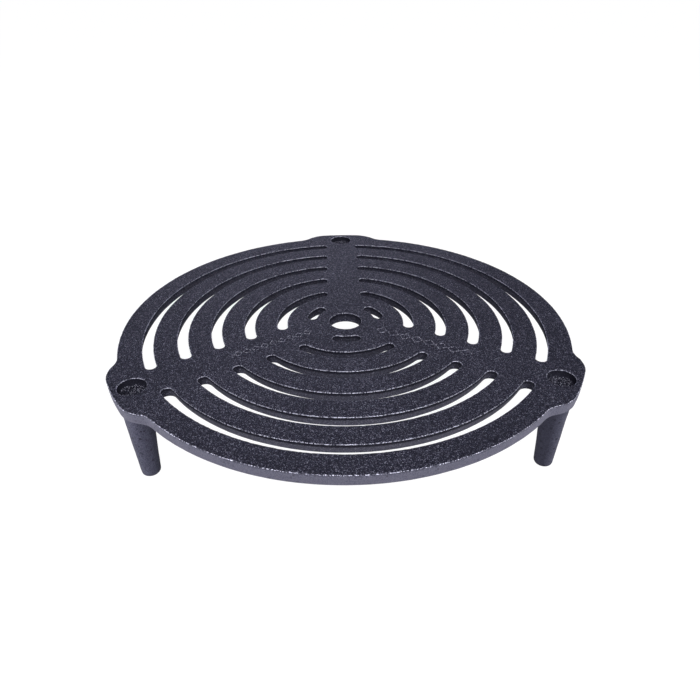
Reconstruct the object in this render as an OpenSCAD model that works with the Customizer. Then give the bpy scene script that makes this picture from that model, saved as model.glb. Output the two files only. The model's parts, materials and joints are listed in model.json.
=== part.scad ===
// Round cast-iron stacking grate on three legs.
// Origin: centre of the bounding box, on the plane that the feet stand on. +Z up, rear leg toward +Y.

/* [Plate] */
// Diameter of the round plate
plate_d = 300; // [280:1:360]
// Thickness of the plate
plate_t = 7; // [6.5:0.5:12]
// Height of the plate's top face above the floor
height = 67; // [50:1:120]
// Diameter of the hole in the middle
hole_d = 22; // [10:1:24]

/* [Slots] */
// Number of long ring slots between two spokes
ring_count = 5; // [3:1:5]
// Centre radius of the outermost ring slot
outer_ring_r = 131.3; // [130:0.1:133]
// Distance from one long ring slot to the next
ring_pitch = 22; // [21.5:0.1:22]
// Centre radius of the short slots round the hub
inner_ring_r = 23.8; // [23.5:0.1:24]
// Width of every slot at the top face
slot_w = 7; // [5:0.5:7]
// How far each slot wall leans back by the underside
slot_draft = 1.5; // [1:0.5:3]
// Width of a spoke between the long slots
spoke_w = 24; // [22:1:28]
// Width of a spoke between the short slots
inner_spoke_w = 27; // [26:1:29]

/* [Lugs] */
// Number of lugs, each with a leg under it
lug_count = 3; // [3:1:3]
// How far a lug stands out past the plate's rim
lug_reach = 8; // [7:0.5:9]
// Half angle of a lug's outermost arc, seen from the plate's centre
lug_half_angle = 5; // [4:0.5:6]
// Radius of a lug's two outer corners
lug_corner_r = 22; // [18:1:24]
// Radius of the hollow between a lug and the rim
lug_hollow_r = 14; // [10:1:18]

/* [Legs] */
// Distance of each leg's axis from the plate's centre
leg_circle_r = 146; // [145:0.5:147]
// Leg diameter under the plate
leg_top_d = 19; // [18:1:21]
// Leg diameter at the foot
foot_d = 12; // [10:1:15]
// Radius round the edge of the foot
foot_round = 2.5; // [1:0.5:4]
// Diameter of the tenon that goes up through the lug
tenon_d = 12; // [8:1:14]
// Diameter of the recess in the top face over each leg
recess_d = 17; // [16:0.5:18]
// Depth of that recess
recess_depth = 4; // [3:0.5:4.5]

/* [Hidden] */
$fn = 96;
iron = [0.2, 0.2, 0.24];
rim_r = plate_d / 2;
underside_z = height - plate_t;
recess_z = height - recess_depth;
tenon_r = tenon_d / 2;
spoke_turn = 360 / lug_count;
// The rear lug makes the outline deeper than it is wide, so the plate's axis sits forward of the origin
axis_y = -lug_reach / 2;
// Cutters run past both faces by this much
over = 1;
// The round end of a slot is this much slimmer than the slot, so that no two cutters are tangent
end_step = 0.05;
// Steps in an arc of an outline
arc_steps = 12;

// Points on an arc about [x, y], from angle a to angle b
function arc(x, y, r, a, b) =
    [for (i = [0:arc_steps]) let (t = a + (b - a) * i / arc_steps) [x + r * cos(t), y + r * sin(t)]];

function flipped(points) =
    [for (i = [len(points) - 1:-1:0]) [points[i][0], -points[i][1]]];

// Outline of one lug that points along +X: an outer arc, two round corners and two hollows that
// run into the rim. The corner and hollow circles touch, which gives the angle between them.
module lug_outline() {
    corner_at = rim_r + lug_reach - lug_corner_r;
    hollow_at = rim_r + lug_hollow_r;
    touch = lug_corner_r + lug_hollow_r;
    turn = acos((pow(corner_at, 2) + pow(hollow_at, 2) - pow(touch, 2)) / (2 * corner_at * hollow_at));
    hollow_angle = lug_half_angle + turn;
    corner = corner_at * [cos(lug_half_angle), sin(lug_half_angle)];
    hollow = hollow_at * [cos(hollow_angle), sin(hollow_angle)];
    across = hollow - corner;
    tilt = atan2(across[1], across[0]);
    outer = arc(0, 0, rim_r + lug_reach, 0, lug_half_angle);
    round_corner = arc(corner[0], corner[1], lug_corner_r, lug_half_angle, tilt);
    round_hollow = arc(hollow[0], hollow[1], lug_hollow_r, tilt + 180, hollow_angle + 180);
    side = concat(outer, round_corner, round_hollow);
    root = [[rim_r / 2, 0]];
    polygon(concat(root, flipped(side), side));
}

// Cutter for one ring slot between the spoke at +X and the next one. It widens downward.
module slot_cutter(ring_r, spoke) {
    end_angle = asin((spoke / 2 + slot_w / 2) / ring_r);
    lean = slot_draft / plate_t;
    top_half = slot_w / 2 - lean * over;
    bottom_half = slot_w / 2 + slot_draft + lean * over;
    top_z = plate_t + over;
    rotate([0, 0, end_angle])
        rotate_extrude(angle = spoke_turn - 2 * end_angle)
            polygon([
                [ring_r - bottom_half, -over],
                [ring_r + bottom_half, -over],
                [ring_r + top_half, top_z],
                [ring_r - top_half, top_z]
            ]);
    for (a = [end_angle, spoke_turn - end_angle])
        rotate([0, 0, a])
            translate([ring_r, 0, -over])
                cylinder(h = top_z + over, r1 = bottom_half - end_step, r2 = top_half - end_step);
}

// One copy for each lug, turned so that the first points to the rear
module at_each_lug() {
    for (i = [0:lug_count - 1])
        rotate([0, 0, 90 + i * spoke_turn])
            children();
}

module grate_plate() {
    color(iron)
        translate([0, axis_y, underside_z])
            difference() {
                linear_extrude(plate_t)
                    union() {
                        circle(rim_r);
                        at_each_lug() lug_outline();
                    }
                translate([0, 0, -over])
                    cylinder(h = plate_t + 2 * over, r = hole_d / 2);
                at_each_lug() {
                    for (i = [0:ring_count - 1])
                        slot_cutter(outer_ring_r - i * ring_pitch, spoke_w);
                    slot_cutter(inner_ring_r, inner_spoke_w);
                    translate([leg_circle_r, 0, plate_t - recess_depth])
                        cylinder(h = recess_depth + over, r = recess_d / 2);
                    translate([leg_circle_r, 0, -over])
                        cylinder(h = plate_t, r = tenon_r);
                }
            }
}

// A tapered round leg with a rounded foot and a tenon that ends level with the recess floor
module leg(turn) {
    foot_edge = arc(foot_d / 2 - foot_round, foot_round, foot_round, -90, 0);
    color(iron)
        translate([0, axis_y, 0])
            rotate([0, 0, 90 + turn])
                translate([leg_circle_r, 0, 0])
                    rotate_extrude()
                        polygon(concat(
                            [[0, 0]],
                            foot_edge,
                            [
                                [leg_top_d / 2, underside_z],
                                [tenon_r, underside_z],
                                [tenon_r, recess_z],
                                [0, recess_z]
                            ]
                        ));
}

module rear_leg() {
    leg(0);
}

module left_leg() {
    leg(spoke_turn);
}

module right_leg() {
    leg(-spoke_turn);
}

grate_plate();
rear_leg();
left_leg();
right_leg();
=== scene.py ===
# A round cast iron grate with ring slots, standing on three tapered legs.
import bmesh
import bpy
import json
import math
from mathutils import Matrix, Vector, noise


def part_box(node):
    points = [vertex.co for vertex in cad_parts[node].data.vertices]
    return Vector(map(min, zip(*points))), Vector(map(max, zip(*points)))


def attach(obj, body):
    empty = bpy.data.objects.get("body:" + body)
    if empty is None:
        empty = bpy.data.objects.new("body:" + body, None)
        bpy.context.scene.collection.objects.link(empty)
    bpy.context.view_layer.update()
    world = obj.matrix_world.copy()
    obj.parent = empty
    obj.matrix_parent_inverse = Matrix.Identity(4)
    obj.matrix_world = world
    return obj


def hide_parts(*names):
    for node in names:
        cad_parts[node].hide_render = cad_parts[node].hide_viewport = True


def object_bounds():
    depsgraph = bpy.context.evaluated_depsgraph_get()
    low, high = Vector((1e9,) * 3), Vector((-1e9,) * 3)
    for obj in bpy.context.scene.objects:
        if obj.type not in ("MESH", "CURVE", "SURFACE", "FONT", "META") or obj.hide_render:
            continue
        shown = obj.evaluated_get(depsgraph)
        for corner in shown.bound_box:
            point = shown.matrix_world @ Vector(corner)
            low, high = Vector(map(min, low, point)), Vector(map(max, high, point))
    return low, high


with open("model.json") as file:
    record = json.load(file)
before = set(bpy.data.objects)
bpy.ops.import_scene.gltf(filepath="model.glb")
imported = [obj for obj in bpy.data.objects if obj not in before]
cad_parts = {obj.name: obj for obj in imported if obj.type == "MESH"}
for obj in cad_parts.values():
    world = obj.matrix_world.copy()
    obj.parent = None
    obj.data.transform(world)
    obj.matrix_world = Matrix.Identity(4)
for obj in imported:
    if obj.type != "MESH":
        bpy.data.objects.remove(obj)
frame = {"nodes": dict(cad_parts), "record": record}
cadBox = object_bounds()

# Pieces are modelled in millimetres with the plate's axis at x = y = 0 and its top face at z = 0,
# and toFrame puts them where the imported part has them.
mm = 0.001
mounts = {m["name"]: m for m in frame["record"]["mounts"]}
plateLow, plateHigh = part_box("grate_plate")
plateAxis = Vector(mounts["centre_hole"]["pos_m"])
toFrame = Matrix.Translation(plateAxis) @ Matrix.Scale(mm, 4)
fromFrame = toFrame.inverted()
thickness = (plateHigh.z - plateLow.z) / mm
recesses = {}
for side in ("rear", "left", "right"):
    mount = mounts[side + "_recess"]
    recesses[side] = dict(centre=(fromFrame @ Vector(mount["pos_m"])).to_2d(), **mount["dims"])
spokeAngles = [math.atan2(r["centre"].y, r["centre"].x) for r in recesses.values()]
flatOrigin = Vector((0, 0))


def ray(angle, length=1.0):
    return Vector((math.cos(angle), math.sin(angle))) * length


def grit(point, size, seed=0.0):
    return noise.noise(Vector(point).to_3d() / size + Vector((seed, seed, seed)))


def finishPiece(bm, name):
    bmesh.ops.recalc_face_normals(bm, faces=bm.faces[:])
    bm.transform(toFrame)
    mesh = bpy.data.meshes.new(name)
    bm.to_mesh(mesh)
    bm.free()
    mesh.shade_smooth()
    piece = bpy.data.objects.new(name, mesh)
    bpy.context.scene.collection.objects.link(piece)
    flatter = piece.modifiers.new("flat faces stay flat", "WEIGHTED_NORMAL")
    flatter.weight = 100
    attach(piece, "root")
    print(name, "has", len(mesh.polygons), "faces")
    return piece


# An edge is a closed list of (point, outward) pairs. Outward points from the iron into the open,
# so a wall can be drawn from its edge by stepping into the iron and down.

plateSize = dict(
    rimRadius=(plateHigh.x - plateLow.x) / 2 / mm,
    lugReach=8.0,                    # past the rim
    lugHalfAngle=math.radians(5),    # half of a lug's outermost arc
    lugCorner=22.0,
    lugHollow=14.0,
    longSlots=[131.3 - 22 * i for i in range(5)],   # middle radius of each ring
    longSpokeHalf=12.0,              # half of the spoke between two long slots
    shortSlot=23.8,
    shortSpokeHalf=13.5,
    slotHalf=3.4,                    # half of a slot's width at the top
    slotDraft=1.5,                   # how far its walls lean back by the underside
    rimDraft=0.3,
    holeDraft=0.0,
    topRound=0.6,
    bottomRound=0.3,
    lipSteps=4,                      # rings of mesh over a rounded top edge
    darkSteps=(0.2, 0.4),            # the wall's painted shade band ends at these parts of its height
    floorSink=0.1,                   # a recess's floor lies this far below the solid's
    tenonHole=6.02,
    pointStep=1.6,
    stray=0.16,                      # how far the sand lets an edge wander
    strayFar=22,                     # over these lengths
    strayNear=5,
    burr=0.16,                       # roughness of the rounded top edges
    burrSize=1.7,
    topWear=0.3,                     # bright grains on the top face, partly worn bare iron and partly painted glints
    lipWear=(0.62, 0.95, 0.9),       # and over its rounded edges, from the face down, as a painted edge highlight
    rimWear=0.82,                    # the rim has less
    boredWear=0.57,                  # and on the recess floors
    boredSoot=0.75,                  # painted shade in the dark between them
    frontFade=120,                   # slot walls are painted paler, as painted light, over this length to the front,
    asideFade=90,                    # and over this one to the sides of the rear half,
    rearFade=40,                     # which begins over this one
)


def arc(centre, radius, start, end, outwardSign, step=plateSize["pointStep"]):
    count = max(2, round(abs(end - start) * radius / step))
    rays = [ray(start + (end - start) * i / count) for i in range(count + 1)]
    return [(centre + r * radius, r * outwardSign) for r in rays]


def joined(*arcs):
    return [pair for run in arcs for pair in run[:-1]]


def turned(pairs, angle):
    turn = Matrix.Rotation(angle, 2)
    return [(turn @ point, turn @ outward) for point, outward in pairs]


def rimEdge():
    s = plateSize
    cornerAt = s["rimRadius"] + s["lugReach"] - s["lugCorner"]
    hollowAt = s["rimRadius"] + s["lugHollow"]
    touch = s["lugCorner"] + s["lugHollow"]
    turn = math.acos((cornerAt ** 2 + hollowAt ** 2 - touch ** 2) / (2 * cornerAt * hollowAt))
    hollowAngle = s["lugHalfAngle"] + turn
    corner, hollow = ray(s["lugHalfAngle"], cornerAt), ray(hollowAngle, hollowAt)
    across = hollow - corner
    tilt = math.atan2(across.y, across.x)
    half = joined(
        arc(flatOrigin, s["rimRadius"] + s["lugReach"], 0, s["lugHalfAngle"], 1),
        arc(corner, s["lugCorner"], s["lugHalfAngle"], tilt, 1),
        arc(hollow, s["lugHollow"], tilt + math.pi, hollowAngle + math.pi, -1),
        arc(flatOrigin, s["rimRadius"], hollowAngle, math.pi / 3, 1),
    )
    flip = Matrix(((1, 0), (0, -1)))
    middle = [(ray(math.pi / 3, s["rimRadius"]), ray(math.pi / 3))]
    otherHalf = [(flip @ point, flip @ outward) for point, outward in reversed(half[1:])]
    edge = []
    for angle in sorted(spokeAngles):
        edge += turned(otherHalf + half + middle, angle)
    return edge


def slotEdge(radius, spokeHalf, spokeAngle):
    half = plateSize["slotHalf"]
    start = math.asin((spokeHalf + half) / radius)
    end = math.tau / 3 - start
    endStep = half * math.pi / 14
    inner = [(point, -outward) for point, outward in arc(flatOrigin, radius - half, end, start, -1)]
    edge = joined(
        arc(flatOrigin, radius + half, start, end, -1),
        arc(ray(end, radius), half, end, end + math.pi, -1, endStep),
        inner,
        arc(ray(start, radius), half, start + math.pi, start + math.tau, -1, endStep),
    )
    return turned(edge, spokeAngle)


def roundEdge(centre, radius):
    return joined(arc(centre, radius, 0, math.tau, -1, radius * math.tau / 80))


def roundedTop():
    # The first steps of a wall, which is a list of (inset, z) from the top face down
    size, count = plateSize["topRound"], plateSize["lipSteps"]
    angles = [i * math.pi / 2 / count for i in range(count + 1)]
    return [(size * (1 - math.sin(a)), size * (math.cos(a) - 1)) for a in angles]


def leaningWall(draft):
    top, bottom = plateSize["topRound"], plateSize["bottomRound"]
    straight = thickness - top - bottom
    steps = roundedTop() + [(draft * t, -top - straight * t) for t in plateSize["darkSteps"]]
    for i in range(4):
        a = i * math.pi / 6
        steps.append((draft + bottom * (1 - math.cos(a)), -top - straight - bottom * math.sin(a)))
    return steps


def recessWall(radius, depth):
    # A bowl that ends where the leg's tenon fills the middle of the floor
    toTenon = plateSize["tenonHole"] - radius
    top, low = plateSize["topRound"], depth + plateSize["floorSink"]
    steps = roundedTop()
    for i in range(1, 8):
        a = i * math.pi / 14
        steps.append((toTenon * (1 - math.cos(a)) ** 1.5, -top - (low - top) * math.sin(a) ** 0.8))
    return steps + [(toTenon, -thickness)]


def wearLightAndShadeOf(kind, level, point, outward):
    # How worn with painted glints, how pale with painted light and how dark with painted shade a wall is at
    # one of its steps
    s = plateSize
    below = level - s["lipSteps"]
    if below < 0:
        lip = (s["topWear"], *s["lipWear"])[level]
        return lip * (s["rimWear"] if kind == "rim" and level > 0 else 1), 0, 0
    # the rim's side is painted paler, as painted light from the front: half at the first step below the
    # rounded edge, fully below it
    if kind == "rim":
        return 0, min(1, (below + 1) / 2), 0
    if kind == "recess":
        # recess walls get full painted shade, the floor a lighter painted shade between its bright grains
        onFloor = below > 4
        return onFloor * s["boredWear"], 0, 1 - (1 - s["boredSoot"]) * onFloor
    front = min(1, max(0, -point.y / s["frontFade"]))
    rear = min(1, max(0, 0.5 + point.y / s["rearFade"]))
    aside = min(1, abs(point.x) / s["asideFade"]) * rear
    along = abs(outward.dot(point.normalized()))   # 1 on a slot's long sides, 0 at its ends
    lit = max(front, aside)
    # painted shade under the rounded edge and down the wall, less where the wall is painted lit, and most
    # at the slot ends
    soot = (1 - 0.6 * aside, 1 - 0.7 * aside, 0.5 - 0.5 * lit, 0.2 - 0.2 * lit)[min(3, below)]
    # slot walls are painted paler towards the front and the rear sides, as painted light through the slots,
    # on their long sides below the top band
    pale = (0.15 + 0.5 * front + 0.3 * aside) * along * (below > 1)
    return 0, pale, max(soot, 0.85 * (1 - along))


def drawWall(bm, edge, steps, kind):
    s = plateSize
    station = bm.verts.layers.int["station"]
    worn, pale, under = (bm.verts.layers.float[n] for n in ("worn", "pale", "under"))

    def put(vert, level):
        inset, z = steps[level]
        point, outward = edge[vert[station]]
        rough = grit((point.x, point.y, z), s["burrSize"]) * s["burr"] * (level < s["lipSteps"])
        wander = (grit(point, s["strayFar"]) * 0.6 + grit(point, s["strayNear"]) * 0.4) * s["stray"]
        place = point + outward * (wander + rough - inset)
        vert.co = (place.x, place.y, z + min(0, rough) * 0.5 * (level > 0))
        vert[worn], vert[pale], vert[under] = wearLightAndShadeOf(kind, level, point, outward)

    ring = [bm.verts.new() for _ in edge]
    for i, vert in enumerate(ring):
        vert[station] = i
        put(vert, 0)
    topLoop = [bm.edges.new((ring[i - 1], ring[i])) for i in range(len(ring))]
    loop = topLoop
    for level in range(1, len(steps)):
        grown = bmesh.ops.extrude_edge_only(bm, edges=loop)["geom"]
        loop = [g for g in grown if isinstance(g, bmesh.types.BMEdge)]
        for vert in (g for g in grown if isinstance(g, bmesh.types.BMVert)):
            put(vert, level)
    return topLoop, loop


def newShape():
    bm = bmesh.new()
    bm.verts.layers.int.new("station")
    # each vertex carries wear with painted glints, painted light on the sides and painted shade
    for name in ("worn", "pale", "under"):
        bm.verts.layers.float.new(name)
    return bm


def makePlate():
    s = plateSize
    bm = newShape()
    slotWall = leaningWall(s["slotDraft"])
    walls = [(rimEdge(), leaningWall(s["rimDraft"]), "rim")]
    for angle in spokeAngles:
        for radius in s["longSlots"]:
            walls.append((slotEdge(radius, s["longSpokeHalf"], angle), slotWall, "slot"))
        walls.append((slotEdge(s["shortSlot"], s["shortSpokeHalf"], angle), slotWall, "slot"))
    hole = mounts["centre_hole"]["dims"]["r_mm"]
    walls.append((roundEdge(flatOrigin, hole), leaningWall(s["holeDraft"]), "slot"))
    for r in recesses.values():
        walls.append((roundEdge(r["centre"], r["r_mm"]), recessWall(r["r_mm"], r["length_mm"]), "recess"))
    topEdges, bottomEdges = [], []
    for wall in walls:
        top, bottom = drawWall(bm, *wall)
        topEdges += top
        bottomEdges += bottom
    for edges in (topEdges, bottomEdges):
        bmesh.ops.triangle_fill(bm, use_beauty=True, use_dissolve=False, edges=edges)
    return finishPiece(bm, "castPlate")


legSize = dict(
    topRadius=9.2,
    footRadius=6.0,
    rootRound=0.9,       # hollow under the lug
    footRound=2.6,
    tenonRadius=6.0,
    tenonDish=0.3,       # the hammered end is hollow by this
    lumps=((14, 0.22), (3, 0.06)),   # their size and height
    tenonLumps=(2.2, 0.35),
    # painted shade on each leg's shaft, set per leg, and more on the side that faces the middle under the
    # plate
    soot=dict(rear=0.4, left=0.45, right=0.95),
    sootInward=0.65,     # more on the side that faces the middle
    sootMost=0.85,
    sides=72,
)


def legOutline(low, shoulder, tenonTop):
    # (radius, z) from the middle of the foot up to the middle of the tenon's end
    s = legSize
    foot, top, tenon = s["footRadius"], s["topRadius"], s["tenonRadius"]
    footRound, rootRound = s["footRound"], s["rootRound"]
    shaftLow, shaftHigh = low + footRound, shoulder - rootRound
    points = [(0, low), (foot - footRound, low)]
    for i in range(1, 9):
        a = i * math.pi / 16
        points.append((foot - footRound * (1 - math.sin(a)), low + footRound * (1 - math.cos(a))))
    for i in range(1, 25):
        t = i / 24
        points.append((foot + (top - foot) * t, shaftLow + (shaftHigh - shaftLow) * t))
    for i in range(1, 6):
        a = i * math.pi / 10
        points.append((top + rootRound * (1 - math.cos(a)), shaftHigh + rootRound * math.sin(a)))
    points.append((tenon, shoulder))
    for i in range(9):
        t = i / 8
        points.append((tenon * (1 - t), tenonTop - plateSize["floorSink"] - s["tenonDish"] * t * (2 - t)))
    return points


def makeLeg(side, seed):
    s = legSize
    centre = recesses[side]["centre"]
    low = (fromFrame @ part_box(side + "_leg")[0]).z
    bm = newShape()
    outline = legOutline(low, -thickness, -recesses[side]["length_mm"])
    verts = [bm.verts.new((r, 0, z)) for r, z in outline]
    edges = [bm.edges.new(pair) for pair in zip(verts, verts[1:])]
    bmesh.ops.spin(bm, geom=verts + edges, cent=(0, 0, 0), axis=(0, 0, 1), dvec=(0, 0, 0),
                   angle=math.tau, steps=s["sides"], use_merge=True)
    bmesh.ops.remove_doubles(bm, verts=bm.verts[:], dist=1e-4)
    worn, pale, under = (bm.verts.layers.float[n] for n in ("worn", "pale", "under"))
    inward = -centre.to_3d().normalized()
    for vert in bm.verts:
        out = Vector((vert.co.x, vert.co.y, 0))
        if -thickness - 0.01 > vert.co.z > low + 0.01:   # the shaft
            vert.co += out.normalized() * sum(grit(vert.co, size, seed) * high for size, high in s["lumps"])
        if vert.co.z > -thickness + 0.1 and out.length < s["tenonRadius"] - 0.1:   # the tenon's end
            size, high = s["tenonLumps"]
            vert.co.z += grit(vert.co, size, seed) * high
        # the shaft takes the side look, paler as painted light; the tenon's end gets the recess floor's
        # bright grains, partly painted glints
        vert[pale] = 1 if vert.co.z < -thickness else 0
        vert[worn] = (1 - vert[pale]) * plateSize["boredWear"]
        # painted shade on the shaft, strongest on its inner side; the tenon's end takes the recess floor's
        # painted shade
        darkening = s["soot"][side] + s["sootInward"] * out.normalized().dot(inward)
        vert[under] = min(s["sootMost"], max(0, darkening)) if vert[pale] else plateSize["boredSoot"]
    bmesh.ops.translate(bm, verts=bm.verts[:], vec=centre.to_3d())
    leg = finishPiece(bm, side + "CastLeg")
    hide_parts(side + "_leg")
    return leg


# A chain of plain raised lozenges along each of the two front spokes
markSize = dict(
    start=dict(left=30.0, right=28.0),
    gap=dict(left=6.2, right=8.4),   # from one lozenge's middle to the next
    count=dict(left=9, right=8),
    ridge=0.32,          # half of a ridge's width
    height=0.3,
    wear=0.8,
)


def makeMarks(side):
    s = markSize
    bm = newShape()
    reach = s["gap"][side] / 2 - 1.5 * s["ridge"]   # from a lozenge's middle to a corner
    section = Matrix.Rotation(math.pi / 2, 4, "X") @ Matrix.Diagonal((1, s["height"] / s["ridge"], 1, 1))
    for i in range(s["count"][side]):
        middle = Vector((s["start"][side] + i * s["gap"][side], 0, 0))
        corner = Matrix.Translation(middle + Vector((reach, 0, 0))) @ section
        ring = bmesh.ops.create_circle(bm, segments=6, radius=s["ridge"], matrix=corner)["verts"]
        edges = list(dict.fromkeys(e for v in ring for e in v.link_edges))
        bmesh.ops.spin(bm, geom=ring + edges, cent=middle, axis=(0, 0, 1), dvec=(0, 0, 0),
                       angle=math.tau, steps=4, use_merge=True)
    # the marks get the bright grains, as wear and as painted glints
    worn = bm.verts.layers.float["worn"]
    for vert in bm.verts:
        vert[worn] = s["wear"]
    toSpoke = recesses[side]["centre"].angle_signed(Vector((1, 0)))
    bmesh.ops.rotate(bm, verts=bm.verts[:], matrix=Matrix.Rotation(toSpoke, 3, "Z"))
    return finishPiece(bm, side + "SpokeMarks")


class Wire:
    # A socket that takes part in Python expressions

    def __init__(self, tree, socket):
        self.tree = tree
        self.socket = socket

    def node(self, kind, settings=None, sockets=None, output=0):
        made = self.tree.nodes.new(kind)
        for name, value in (settings or {}).items():
            if name == "stops":
                stops = made.color_ramp.elements
                while len(stops) < len(value):
                    stops.new(0.5)
                for stop, (position, colour) in zip(stops, value):
                    stop.position = position
                    stop.color = colour
            else:
                setattr(made, name, value)
        for key, value in (sockets or {}).items():
            if isinstance(value, Wire):
                self.tree.links.new(value.socket, made.inputs[key])
            else:
                made.inputs[key].default_value = value
        return Wire(self.tree, made.outputs[output]) if made.outputs else made

    def maths(self, operation, *values):
        return self.node("ShaderNodeMath", {"operation": operation}, dict(enumerate(values)))

    def clamped(self):
        return self.node("ShaderNodeClamp", None, {"Value": self})

    def between(self, low, high):
        return self.node("ShaderNodeMapRange", {"interpolation_type": "SMOOTHSTEP"},
                         {"Value": self, "From Min": low, "From Max": high})

    def __add__(self, other):
        return self.maths("ADD", self, other)

    def __radd__(self, other):
        return self.maths("ADD", other, self)

    def __sub__(self, other):
        return self.maths("SUBTRACT", self, other)

    def __rsub__(self, other):
        return self.maths("SUBTRACT", other, self)

    def __mul__(self, other):
        return self.maths("MULTIPLY", self, other)

    def __rmul__(self, other):
        return self.maths("MULTIPLY", other, self)


def newMaterial(name):
    material = bpy.data.materials.new(name)
    material.use_nodes = True
    tree = material.node_tree
    tree.nodes.clear()
    coords = tree.nodes.new("ShaderNodeTexCoord")
    return material, Wire(tree, coords.outputs["Object"])


def mixed(wire, amount, first, second):
    return wire.node("ShaderNodeMix", {"data_type": "RGBA"}, {0: amount, 6: first, 7: second}, 2)


def grain(wire, size, detail=2.0, roughness=0.6):
    return wire.node("ShaderNodeTexNoise", None,
                     {"Vector": wire, "Scale": 1 / size, "Detail": detail, "Roughness": roughness})


ironLook = dict(
    # the grain's darkest colour, which painted shade also mixes to
    valley=(0.002, 0.002, 0.005, 1),
    skin=(0.030, 0.030, 0.046, 1),
    # bright grain peaks, partly the iron's grain and partly painted sparkle
    peak=(0.45, 0.45, 0.58, 1),
    # bare iron grains, also used as painted glints on edges and faces
    bareGrain=(0.76, 0.76, 0.90, 1),
    tint=(0.74, 0.74, 1.0, 1),
    grainSize=0.0006,
    coarseSize=0.0021,
    flakeSize=0.0007,
    patchSize=0.045,
    pitSize=0.004,
    reliefDepth=0.00045,
    skinRange=(0.42, 0.55),          # where the grain's noise turns from valley to skin,
    peakRange=(0.57, 0.68),          # from skin to the bright peak, partly painted sparkle,
    paleRange=(0.36, 0.56),          # and from hollow to skin where the iron is painted pale as painted light
    bareRange=(0.40, 0.53),
    bareShift=0.40,                  # how much further it has to rise where no wear and no painted glint is set
    pitRange=(0.12, 0.26),
)

# The plate's sides are painted paler than the legs, as painted light, and the legs have more pits
irons = dict(
    plateIron=dict(sideLightHollow=(0.062, 0.061, 0.088, 1), sideLightSkin=(0.100, 0.098, 0.126, 1), pitDepth=0.4),
    legIron=dict(sideLightHollow=(0.016, 0.016, 0.027, 1), sideLightSkin=(0.064, 0.064, 0.094, 1), pitDepth=0.9),
)


def makeIron(name, sideLightHollow, sideLightSkin, pitDepth):
    s = ironLook
    material, position = newMaterial(name)
    worn, pale, under = (position.node("ShaderNodeAttribute", {"attribute_name": n}, None, 2)
                         for n in ("worn", "pale", "under"))
    fine = grain(position, s["grainSize"])
    coarse = grain(position, s["coarseSize"])
    flakes = grain(position, s["flakeSize"], 1.0)
    patches = grain(position, s["patchSize"])
    pits = position.node("ShaderNodeTexVoronoi", None, {"Vector": position, "Scale": 1 / s["pitSize"]}, 0)
    pitted = 1 - pits.between(*s["pitRange"])
    height = fine * 0.8 + coarse * 0.3 - pitted * 0.3
    shade = fine * 0.85 + coarse * 0.15 + (patches - 0.5) * 0.06
    dark = mixed(position, shade.between(*s["skinRange"]), s["valley"], s["skin"])
    # bright specks on the grain's peaks, partly painted sparkle
    speckledSparkle = mixed(position, shade.between(*s["peakRange"]), dark, s["peak"])
    sideLitLook = mixed(position, shade.between(*s["paleRange"]), sideLightHollow, sideLightSkin)
    # the sides' paler look is painted light
    withSideLight = mixed(position, pale * 0.95, speckledSparkle, sideLitLook)
    # painted shade from the vertex attribute, plus darker pits on the sides
    darkening = (under * 0.95 + pitted * pale * pitDepth).clamped()
    shaded = mixed(position, darkening, withSideLight, s["valley"])
    # bright bare grains: rubbed iron, and painted glints where an edge would catch the light
    bareAndGlint = (flakes - (1 - worn) * s["bareShift"]).between(*s["bareRange"])
    colour = mixed(position, bareAndGlint, shaded, s["bareGrain"])
    roughness = 0.46 + (1 - shade) * 0.22 - bareAndGlint * 0.12 + under * 0.3
    relief = height * (1 - pale * 0.5)
    bump = position.node("ShaderNodeBump", None,
                         {"Strength": 1.0, "Distance": s["reliefDepth"], "Height": relief})
    surface = position.node("ShaderNodeBsdfPrincipled", None,
                            {"Base Color": colour, "Roughness": roughness, "Metallic": bareAndGlint * 0.4,
                             "IOR": 1.55, "Specular Tint": s["tint"], "Normal": bump})
    position.node("ShaderNodeOutputMaterial", None, {"Surface": surface})
    print(name, "mixed from", len(material.node_tree.nodes), "nodes")
    return material


studio = dict(
    floorColour=(0.86, 0.86, 0.88, 1),
    floorClean=0.88,                 # how much of the floor the camera sees as plain white
    floorGlow=1.125,
    floorReach=40.0,
    skyStops=[(0.0, (0.50, 0.50, 0.63, 1)),      # horizon
              (0.25, (0.115, 0.115, 0.16, 1)),
              (0.8, (0.075, 0.075, 0.105, 1))],
    lens=30.91,
    cameraOffset=(-9.5, -360.84, 205.38),   # from the middle of the plate's top, in mm
    cameraDown=32.433,
    cameraTurn=-2.008,
)

lights = dict(
    frontSoftbox=dict(place=(0.15, -1.25, 0.95), target=plateAxis, size=(1.3, 0.7), power=20),
    backSoftbox=dict(place=(-0.15, 1.6, 0.38), target=plateAxis, size=(1.3, 0.3), power=3,
                     colour=(0.8, 0.8, 1)),
    # strips lower than the plate's top, so that only the sides catch them
    leftStrip=dict(place=(-1.2, -0.4, 0.034), target=(0, 0, 0.034), size=(1.2, 0.05), power=13),
    rightStrip=dict(place=(1.2, -0.4, 0.034), target=(0, 0, 0.034), size=(1.2, 0.05), power=10),
)


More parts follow.
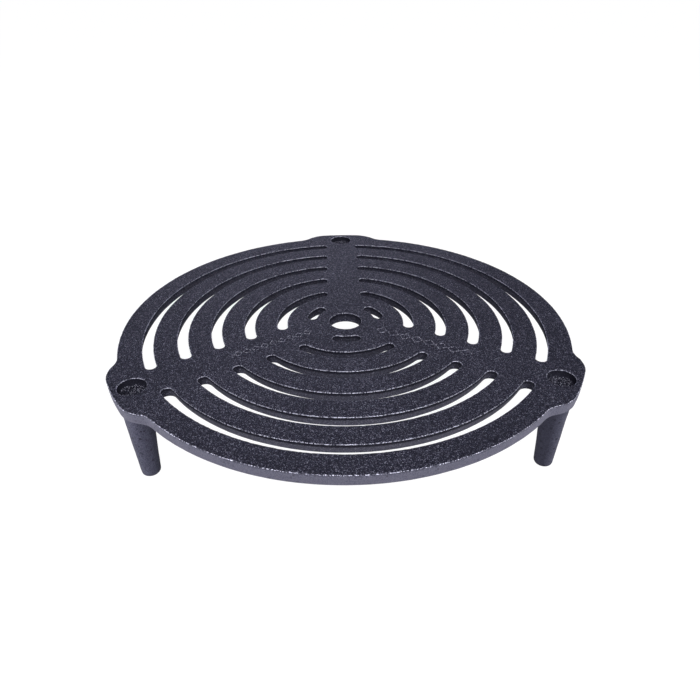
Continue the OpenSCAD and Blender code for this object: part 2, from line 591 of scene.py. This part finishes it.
def makeFloor():
    bm = bmesh.new()
    bmesh.ops.create_grid(bm, x_segments=1, y_segments=1, size=studio["floorReach"])
    bmesh.ops.translate(bm, verts=bm.verts[:], vec=(0, 0, cadBox[0].z))
    mesh = bpy.data.meshes.new("floor")
    bm.to_mesh(mesh)
    bm.free()
    floor = bpy.data.objects.new("floor", mesh)
    bpy.context.scene.collection.objects.link(floor)
    material, position = newMaterial("paleFloor")
    matt = position.node("ShaderNodeBsdfDiffuse", None, {"Color": studio["floorColour"]})
    clean = position.node("ShaderNodeEmission", None,
                          {"Color": (1, 1, 1, 1), "Strength": studio["floorGlow"]})
    seen = position.node("ShaderNodeLightPath") * studio["floorClean"]
    surface = position.node("ShaderNodeMixShader", None, {0: seen, 1: matt, 2: clean})
    position.node("ShaderNodeOutputMaterial", None, {"Surface": surface})
    mesh.materials.append(material)
    print("floor laid at", cadBox[0].z)


def addLight(name, place, target, size, power, colour=(1, 1, 1)):
    data = bpy.data.lights.new(name, "AREA")
    data.shape = "RECTANGLE"
    data.size, data.size_y = size
    data.energy = power
    data.color = colour
    light = bpy.data.objects.new(name, data)
    light.location = place
    light.rotation_euler = (Vector(target) - Vector(place)).to_track_quat("-Z", "Y").to_euler()
    light.visible_camera = False
    bpy.context.scene.collection.objects.link(light)
    print(name, "set at", place)


def makeSky():
    world = bpy.data.worlds.new("studio")
    bpy.context.scene.world = world
    world.use_nodes = True
    tree = world.node_tree
    tree.nodes.clear()
    direction = Wire(tree, tree.nodes.new("ShaderNodeTexCoord").outputs["Generated"])
    up = direction.node("ShaderNodeSeparateXYZ", None, {0: direction}, 2)
    sky = up.node("ShaderNodeValToRGB", {"stops": studio["skyStops"]}, {0: up})
    tent = up.node("ShaderNodeBackground", None, {"Color": sky, "Strength": 1.0})
    white = up.node("ShaderNodeBackground", None, {"Color": (1, 1, 1, 1), "Strength": 1.0})
    seen = up.node("ShaderNodeLightPath")
    surface = up.node("ShaderNodeMixShader", None, {0: seen, 1: tent, 2: white})
    up.node("ShaderNodeOutputWorld", None, {"Surface": surface})
    print("sky laid over the scene")


def makeCamera():
    camera = bpy.data.objects.new("camera", bpy.data.cameras.new("camera"))
    bpy.context.scene.collection.objects.link(camera)
    camera.data.lens = studio["lens"]
    camera.data.clip_end = 200
    camera.location = toFrame @ Vector(studio["cameraOffset"])
    camera.rotation_euler = (math.radians(90 - studio["cameraDown"]), 0, math.radians(studio["cameraTurn"]))
    bpy.context.scene.camera = camera
    bpy.context.scene.view_settings.view_transform = "Standard"
    print("camera at", camera.location)


made = {name: makeIron(name, **look) for name, look in irons.items()}
plate = makePlate()
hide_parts("grate_plate")
plate.data.materials.append(made["plateIron"])
for seed, side in enumerate(recesses):
    makeLeg(side, seed * 7.3).data.materials.append(made["legIron"])
for side in ("left", "right"):
    makeMarks(side).data.materials.append(made["plateIron"])
for node in frame["nodes"].values():
    node.data.materials.clear()
    node.data.materials.append(made["legIron"])
makeFloor()
for name, light in lights.items():
    addLight(name, **light)
makeSky()
makeCamera()
